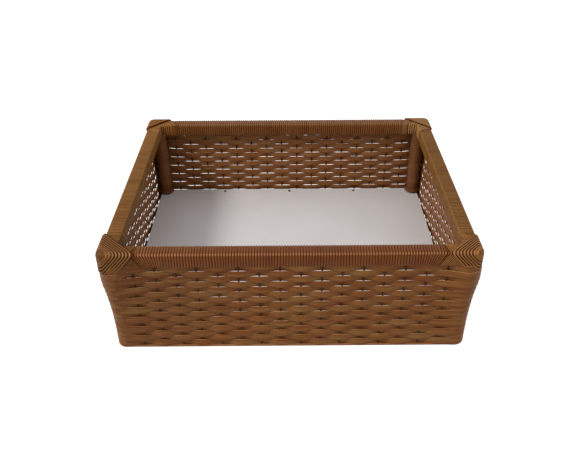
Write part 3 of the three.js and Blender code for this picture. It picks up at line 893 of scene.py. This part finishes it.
for name in CORNERS:
    low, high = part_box(f"post_wrap_{name}")
    tube_low, tube_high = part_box(f"post_tube_{name}")
    centre = (tube_low + tube_high) / 2
    tube_radius = (tube_high.x - tube_low.x) / 2
    layers = []
    radius = tube_radius + POST_STRIP_GAP + POST_STRIP_THICKNESS / 2
    for grow, turns in ((0, round((high.z - low.z) / TURN_PITCH)), (CUFF_STEP, CUFF_TURNS)):
        route, facings = post_route(centre, radius + grow, low.z, turns)
        widths = [TURN_PITCH * POST_STRIP_SHARE] * len(route)
        layers.append(lay_strip(route, facings, widths, POST_STRIP_THICKNESS, POST_STRIP_CROWN))
    post = join_pieces(layers)
    finish_piece(post, f"post_winding_{name}", post_plastic, "wrap_strip", f"post_wrap_{name}")
print("four posts wound")

# %% [markdown]
# ## Corner bindings
#
# The corners of the rim are the showpiece. Strips are bound over each corner in nested loops:
# across the top at 45 degrees, and at 45 degrees down both outer faces, round the upright
# corner or under the bar. Every loop lies flat in its own slanted plane, and all the planes are
# parallel, so the loops are slices through one rounded corner. That is how they are made: a ray
# goes out from the middle of a slice until it meets the rounded corner, and the strip is laid
# through those points.

# %% The rounded corner that the loops lie on
BINDING_DROP = 23.5 * MM
UPRIGHT_EDGE_RADIUS = 8 * MM
TOP_EDGE_RADIUS = 5 * MM
FOOT_EDGE_RADIUS = 2.5 * MM
LOOP_STRIP_THICKNESS = 0.7 * MM
LOOP_STRIP_CROWN = 0.5 * MM
LOOP_STRIP_SHARE = 0.73
LOOP_SPACING = 3.5 * MM
SMALLEST_LOOP = 5 * MM
STATIONS_PER_LOOP_SIDE = 12
SLOPE_STEP = 0.05 * MM
RAY_LENGTH = 80 * MM
RAY_HALVINGS = 24

def outside_by(point, bulge):
    """How far a point, measured inwards and downwards from the sharp corner, lies outside."""
    near = [UPRIGHT_EDGE_RADIUS - (point.x + bulge), UPRIGHT_EDGE_RADIUS - (point.y + bulge)]
    plan = math.hypot(max(near[0], 0), max(near[1], 0)) + min(max(near), 0) - UPRIGHT_EDGE_RADIUS
    half_height = (BINDING_DROP + bulge) / 2
    from_middle = point.z - (BINDING_DROP - bulge) / 2
    level_radius = TOP_EDGE_RADIUS if from_middle < 0 else FOOT_EDGE_RADIUS
    beside = plan + level_radius
    above = abs(from_middle) - half_height + level_radius
    return math.hypot(max(beside, 0), max(above, 0)) + min(max(beside, above), 0) - level_radius

def way_out(point, bulge):
    slope = Vector()
    for axis in range(3):
        nudge = Vector()
        nudge[axis] = SLOPE_STEP
        slope[axis] = outside_by(point + nudge, bulge) - outside_by(point - nudge, bulge)
    return slope.normalized()

def surface_along(start, direction, bulge):
    near, far = 0.0, RAY_LENGTH
    for _ in range(RAY_HALVINGS):
        middle = (near + far) / 2
        if outside_by(start + direction * middle, bulge) < 0:
            near = middle
        else:
            far = middle
    return start + direction * near

# %% Routes of the loops
def loop_route(reach, bulge):
    """One loop in corner directions, where x and y go inwards and z goes down."""
    drop = min(reach + 2 * bulge, BINDING_DROP)
    under = reach - drop
    corners = [
        Vector((reach, -bulge, -bulge)),
        Vector((-bulge, reach, -bulge)),
        Vector((-bulge, under, drop)),
        Vector((under, -bulge, drop)),
    ]
    middle = sum(corners, Vector()) / 4
    route, facings = [], []
    for start, end in zip(corners, corners[1:] + corners[:1]):
        if (end - start).length < 2 * bulge:
            continue
        for station in range(STATIONS_PER_LOOP_SIDE):
            share = (1 - math.cos(math.pi * station / STATIONS_PER_LOOP_SIDE)) / 2
            direction = (start.lerp(end, share) - middle).normalized()
            place = surface_along(middle, direction, bulge)
            route.append(place)
            facings.append(way_out(place, bulge))
    return route, facings

def to_upright(vector):
    """From corner directions, with z down, to the corner's frame, with z up."""
    return Vector((vector.x, vector.y, -vector.z))

# %% Lay the loops of one corner
LOOP_PLANE = Vector((1, 1, 1)).normalized()
WIDEST_LOOP_STRIP = 2.6 * MM
LEAST_STEEPNESS = 0.3
CAP_SINK = 0.35 * MM
CAP_STRIP_PITCH = 2.4 * MM
ACROSS_CAP = Vector((1, -0.5, 1)).normalized()

def loop_width(facing):
    """A strip fills most of the way to the next plane, measured on the surface it lies on."""
    steepness = math.sqrt(1 - facing.dot(LOOP_PLANE) ** 2)
    way_to_next = LOOP_SPACING / math.sqrt(3) / max(steepness, LEAST_STEEPNESS)
    return min(WIDEST_LOOP_STRIP, way_to_next * LOOP_STRIP_SHARE)

def bind_corner(loops, capped, proud, stand):
    bulge = proud - LOOP_STRIP_THICKNESS / 2 - LOOP_STRIP_CROWN
    strips = []
    top = stand @ Matrix.Translation((0, 0, rim_top))
    for loop in range(capped, loops):
        route, facings = loop_route(SMALLEST_LOOP + LOOP_SPACING * loop, bulge)
        widths = [loop_width(facing) for facing in facings]
        places = [top @ to_upright(place) for place in route]
        outs = [top.to_3x3() @ to_upright(facing) for facing in facings]
        strip = lay_strip(places, outs, widths, LOOP_STRIP_THICKNESS, LOOP_STRIP_CROWN, closed=True)
        strips.append(strip)
    return strips

# %% [markdown]
# ## The core under a binding
#
# Between the loops one must not see through to the tube, so there is a core: a block at the
# corner, with its upright edge rounded more than its level edges, cut just inside the outermost
# loop by a bisect. It stands for the layers of strip underneath, painted dark as painted shade.
# The same block, cut nearer the tip and hardly smaller than the loops, makes the cap there, where
# the last strips are pressed flat side by side and pass straight over the tip.

# %% Core of a binding
CORE_GAP = 1.6 * MM
CORE_INSET = 1.8 * MM
UPRIGHT_SEGMENTS = 6
LEVEL_SEGMENTS = 3

def bevel_edges(piece, test, offset, segments):
    """Bevels the edges whose two ends pass a test."""
    pick(piece, "EDGE", lambda edge: test(*[piece.data.vertices[i].co for i in edge.vertices]))
    bpy.ops.mesh.bevel(offset=offset, segments=segments, affect="EDGES")
    object_mode()

def rounded_corner(reach, bulge, drop, level_radius, stand, finish):
    side = reach + 2 * bulge
    radius = UPRIGHT_EDGE_RADIUS
    bpy.ops.mesh.primitive_cube_add(size=1)
    core = bpy.context.object
    middle = (side / 2 - bulge, side / 2 - bulge, (bulge - drop) / 2)
    size_and_place(core, (side, side, drop + bulge), middle)
    bevel_edges(core, lambda a, b: max(a.x, a.y, b.x, b.y) < 0, radius, UPRIGHT_SEGMENTS)
    def level_and_outer(a, b):
        return abs(a.z - b.z) < bulge and max(min(a.x, a.y), min(b.x, b.y)) < radius
    bevel_edges(core, level_and_outer, level_radius, LEVEL_SEGMENTS)
    bpy.ops.object.mode_set(mode="EDIT")
    bpy.ops.mesh.select_all(action="SELECT")
    bpy.ops.mesh.bisect(plane_co=(reach, 0, 0), plane_no=(1, 1, -1), use_fill=True, clear_outer=True)
    object_mode()
    for place in core.data.loops:
        across = to_upright(core.data.vertices[place.vertex_index].co).dot(ACROSS_CAP)
        spot = core.data.uv_layers["UVMap"].data[place.index]
        spot.uv = (spot.uv.x * side, across / CAP_STRIP_PITCH)
    core.data.transform(stand @ Matrix.Translation((0, 0, rim_top)))
    coat(core, finish)
    return core

def bind_core(loops, proud, stand):
    reach = SMALLEST_LOOP + LOOP_SPACING * (loops - 1) - CORE_INSET
    drop = BINDING_DROP - CORE_GAP / 2
    return rounded_corner(reach, proud - CORE_GAP, drop, FOOT_EDGE_RADIUS, stand, shaded_under_plastic)

def bind_cap(capped, proud, stand, finish):
    reach = SMALLEST_LOOP + LOOP_SPACING * (capped - 0.5)
    return rounded_corner(reach, proud - CAP_SINK, BINDING_DROP, TOP_EDGE_RADIUS, stand, finish)

# %% Bind the corners
FAN_START = -1.5 * MM
# How far each binding stands out, its loops, how many of them its cap replaces, and the painted light or
# shade of its finish.
BINDINGS = {
    "front_left": (4.2 * MM, 10, 2, "dark"),
    "front_right": (3.2 * MM, 9, 1, "lit"),
    "rear_right": (2.9 * MM, 9, 1, "sunny"),
    "rear_left": (3.2 * MM, 8, 1, "lit"),
}

def fan_strips(quarter, at_far_end):
    """The turns of one wall's winding that go on under the binding, at either end."""
    side, half_length, stand, stakes = WALLS[quarter]
    turns = round((winding_starts[side] - FAN_START) / TURN_PITCH)
    first = winding_starts[side] - turns * TURN_PITCH
    if at_far_end:
        first = 2 * half_length - winding_starts[side]
    return wind_bar(half_length, first, turns, wobbles[side], stand)

for quarter, (name, stand) in enumerate(CORNERS.items()):
    proud, loops, capped, shade = BINDINGS[name]
    strips = bind_corner(loops, capped, proud, stand)
    strips.append(fan_strips(quarter, False))
    strips.append(fan_strips((quarter - 1) % 4, True))
    for strip in strips:
        coat(strip, binding_finishes[shade])
    core = bind_core(loops, proud, stand)
    cap = bind_cap(capped, proud, stand, cap_finishes[shade])
    binding = join_pieces([*strips, core, cap])
    finish_piece(binding, f"binding_{name}", None, "wrap_strip", f"corner_binding_{name}")
    print(f"{binding.name}: {len(binding.data.polygons)} faces")

# %% [markdown]
# ## The board
#
# The floor is a white faced board with a satin surface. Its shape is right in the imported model,
# so only its finish is made here: almost white, with a faint mottle in the colour and the
# slight orange peel that such a facing has.

# %% Board finish
MOTTLE_PLACES = (0.35, 0.65)
PEEL_SCALE = 900
PEEL_BUMP, PEEL_HEIGHT = 0.08, 0.1 * MM

def mottled_finish(name, low_tone, high_tone, scale, detail, roughness, **shine):
    """A finish that drifts between two tones, with its shader, its space and its pattern."""
    finish, shader = new_finish(name, roughness, **shine)
    place = add_node(finish, "TexCoord", {}).outputs["Object"]
    mottle = grain(finish, place, scale, detail)
    stops = list(zip(MOTTLE_PLACES, (paint(*low_tone), paint(*high_tone))))
    feed(finish, shader["Base Color"], colour_ramp(finish, mottle, stops))
    return finish, shader, place, mottle

board_white, shader, place, mottle = mottled_finish(
    "board_white", (216, 213, 212), (221, 218, 217),
    scale=14, detail=5, roughness=0.42, specular=0.22,
)
peel = grain(board_white, place, PEEL_SCALE, 1.0)
feed(board_white, shader["Normal"], bumped(board_white, peel, PEEL_BUMP, PEEL_HEIGHT))
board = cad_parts["floor_board"]
coat(board, board_white)
print("board finished")

# %% [markdown]
# ## Screws
#
# Six small round-head screws hold the board down. One is modelled: a cylinder whose top is
# inset and raised into a low dome, with a small recess sunk into it, and a plain shank. All six
# are copies of it, each at its own angle, as no two screws stop at the same one.

# %% Screw finish
SCREW_ROUGHNESS = (0.32, 0.55)

screw_dark, shader, place, tarnish = mottled_finish(
    "screw_dark", (64, 56, 52), (104, 94, 88),
    scale=700, detail=3, roughness=0.42, metallic=0.7,
)
feed(screw_dark, shader["Roughness"], between(screw_dark, tarnish, *SCREW_ROUGHNESS))
print("screw finish made")

# %% Model one screw
SCREW_SIDES = 16
SHANK_DIAMETER = 2.4 * MM
SHANK_TIP_SHARE = 0.2
HEAD_WALL_SHARE = 0.5
DOME_INSETS_AND_RISES = [(0.2, 0.3), (0.3, 0.2)]
RECESS_INSET = 0.22
RECESS_DEPTH = 0.4 * MM
FACING_UP = 0.9

def extrude_down(depth):
    bpy.ops.mesh.extrude_region_move(TRANSFORM_OT_translate={"value": (0, 0, -depth)})

def model_screw(low, high):
    head_radius = (high.x - low.x) / 2
    head_height = high.z - board_top
    wall_height = head_height * HEAD_WALL_SHARE
    bpy.ops.mesh.primitive_cylinder_add(vertices=SCREW_SIDES, radius=head_radius, depth=wall_height)
    screw = bpy.context.object
    size_and_place(screw, (1, 1, 1), (0, 0, board_top + wall_height / 2))
    pick(screw, "FACE", lambda face: face.normal.z > FACING_UP)
    for inset, rise in DOME_INSETS_AND_RISES:
        bpy.ops.mesh.inset(thickness=head_radius * inset)
        bpy.ops.transform.translate(value=(0, 0, head_height * rise))
    bpy.ops.mesh.inset(thickness=head_radius * RECESS_INSET)
    bpy.ops.transform.translate(value=(0, 0, -RECESS_DEPTH))
    object_mode()
    pick(screw, "FACE", lambda face: face.normal.z < -FACING_UP)
    bpy.ops.mesh.inset(thickness=head_radius - SHANK_DIAMETER / 2)
    extrude_down(board_top - low.z - SHANK_DIAMETER / 2)
    extrude_down(SHANK_DIAMETER / 2)
    bpy.ops.transform.resize(value=(SHANK_TIP_SHARE, SHANK_TIP_SHARE, 1))
    object_mode()
    return screw

first_screw = model_screw(*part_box("board_screw_rear_left"))
for row in ("front", "rear"):
    for column in ("left", "middle", "right"):
        node = f"board_screw_{row}_{column}"
        low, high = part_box(node)
        spot = Matrix.Translation(((low.x + high.x) / 2, (low.y + high.y) / 2, 0))
        turned = Matrix.Rotation(dice.uniform(0, math.pi), 4, "Z")
        screw = copy_of(first_screw, spot @ turned)
        finish_piece(screw, f"round_head_{row}_{column}", screw_dark, "screw", node)
bpy.data.objects.remove(first_screw)
print("six screws")

# %% [markdown]
# ## The coated frame inside
#
# The rim tubes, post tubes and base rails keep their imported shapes. They show only from below
# and as the dark behind the lowest slits, where nothing bright gleams in the photograph, so
# they get a dull brown powder coat with a fine grain.

# %% Tube finish
COAT_ROUGHNESS = (0.48, 0.66)

tube_coat, shader, place, coat_grain = mottled_finish(
    "tube_coat", (68, 46, 36), (80, 56, 44),
    scale=600, detail=4, roughness=0.55, specular=0.2,
)
feed(tube_coat, shader["Roughness"], between(tube_coat, coat_grain, *COAT_ROUGHNESS))
for name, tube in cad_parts.items():
    if name.startswith(("rim_tube", "post_tube", "base_rail")):
        coat(tube, tube_coat)
print("tubes and rails finished")
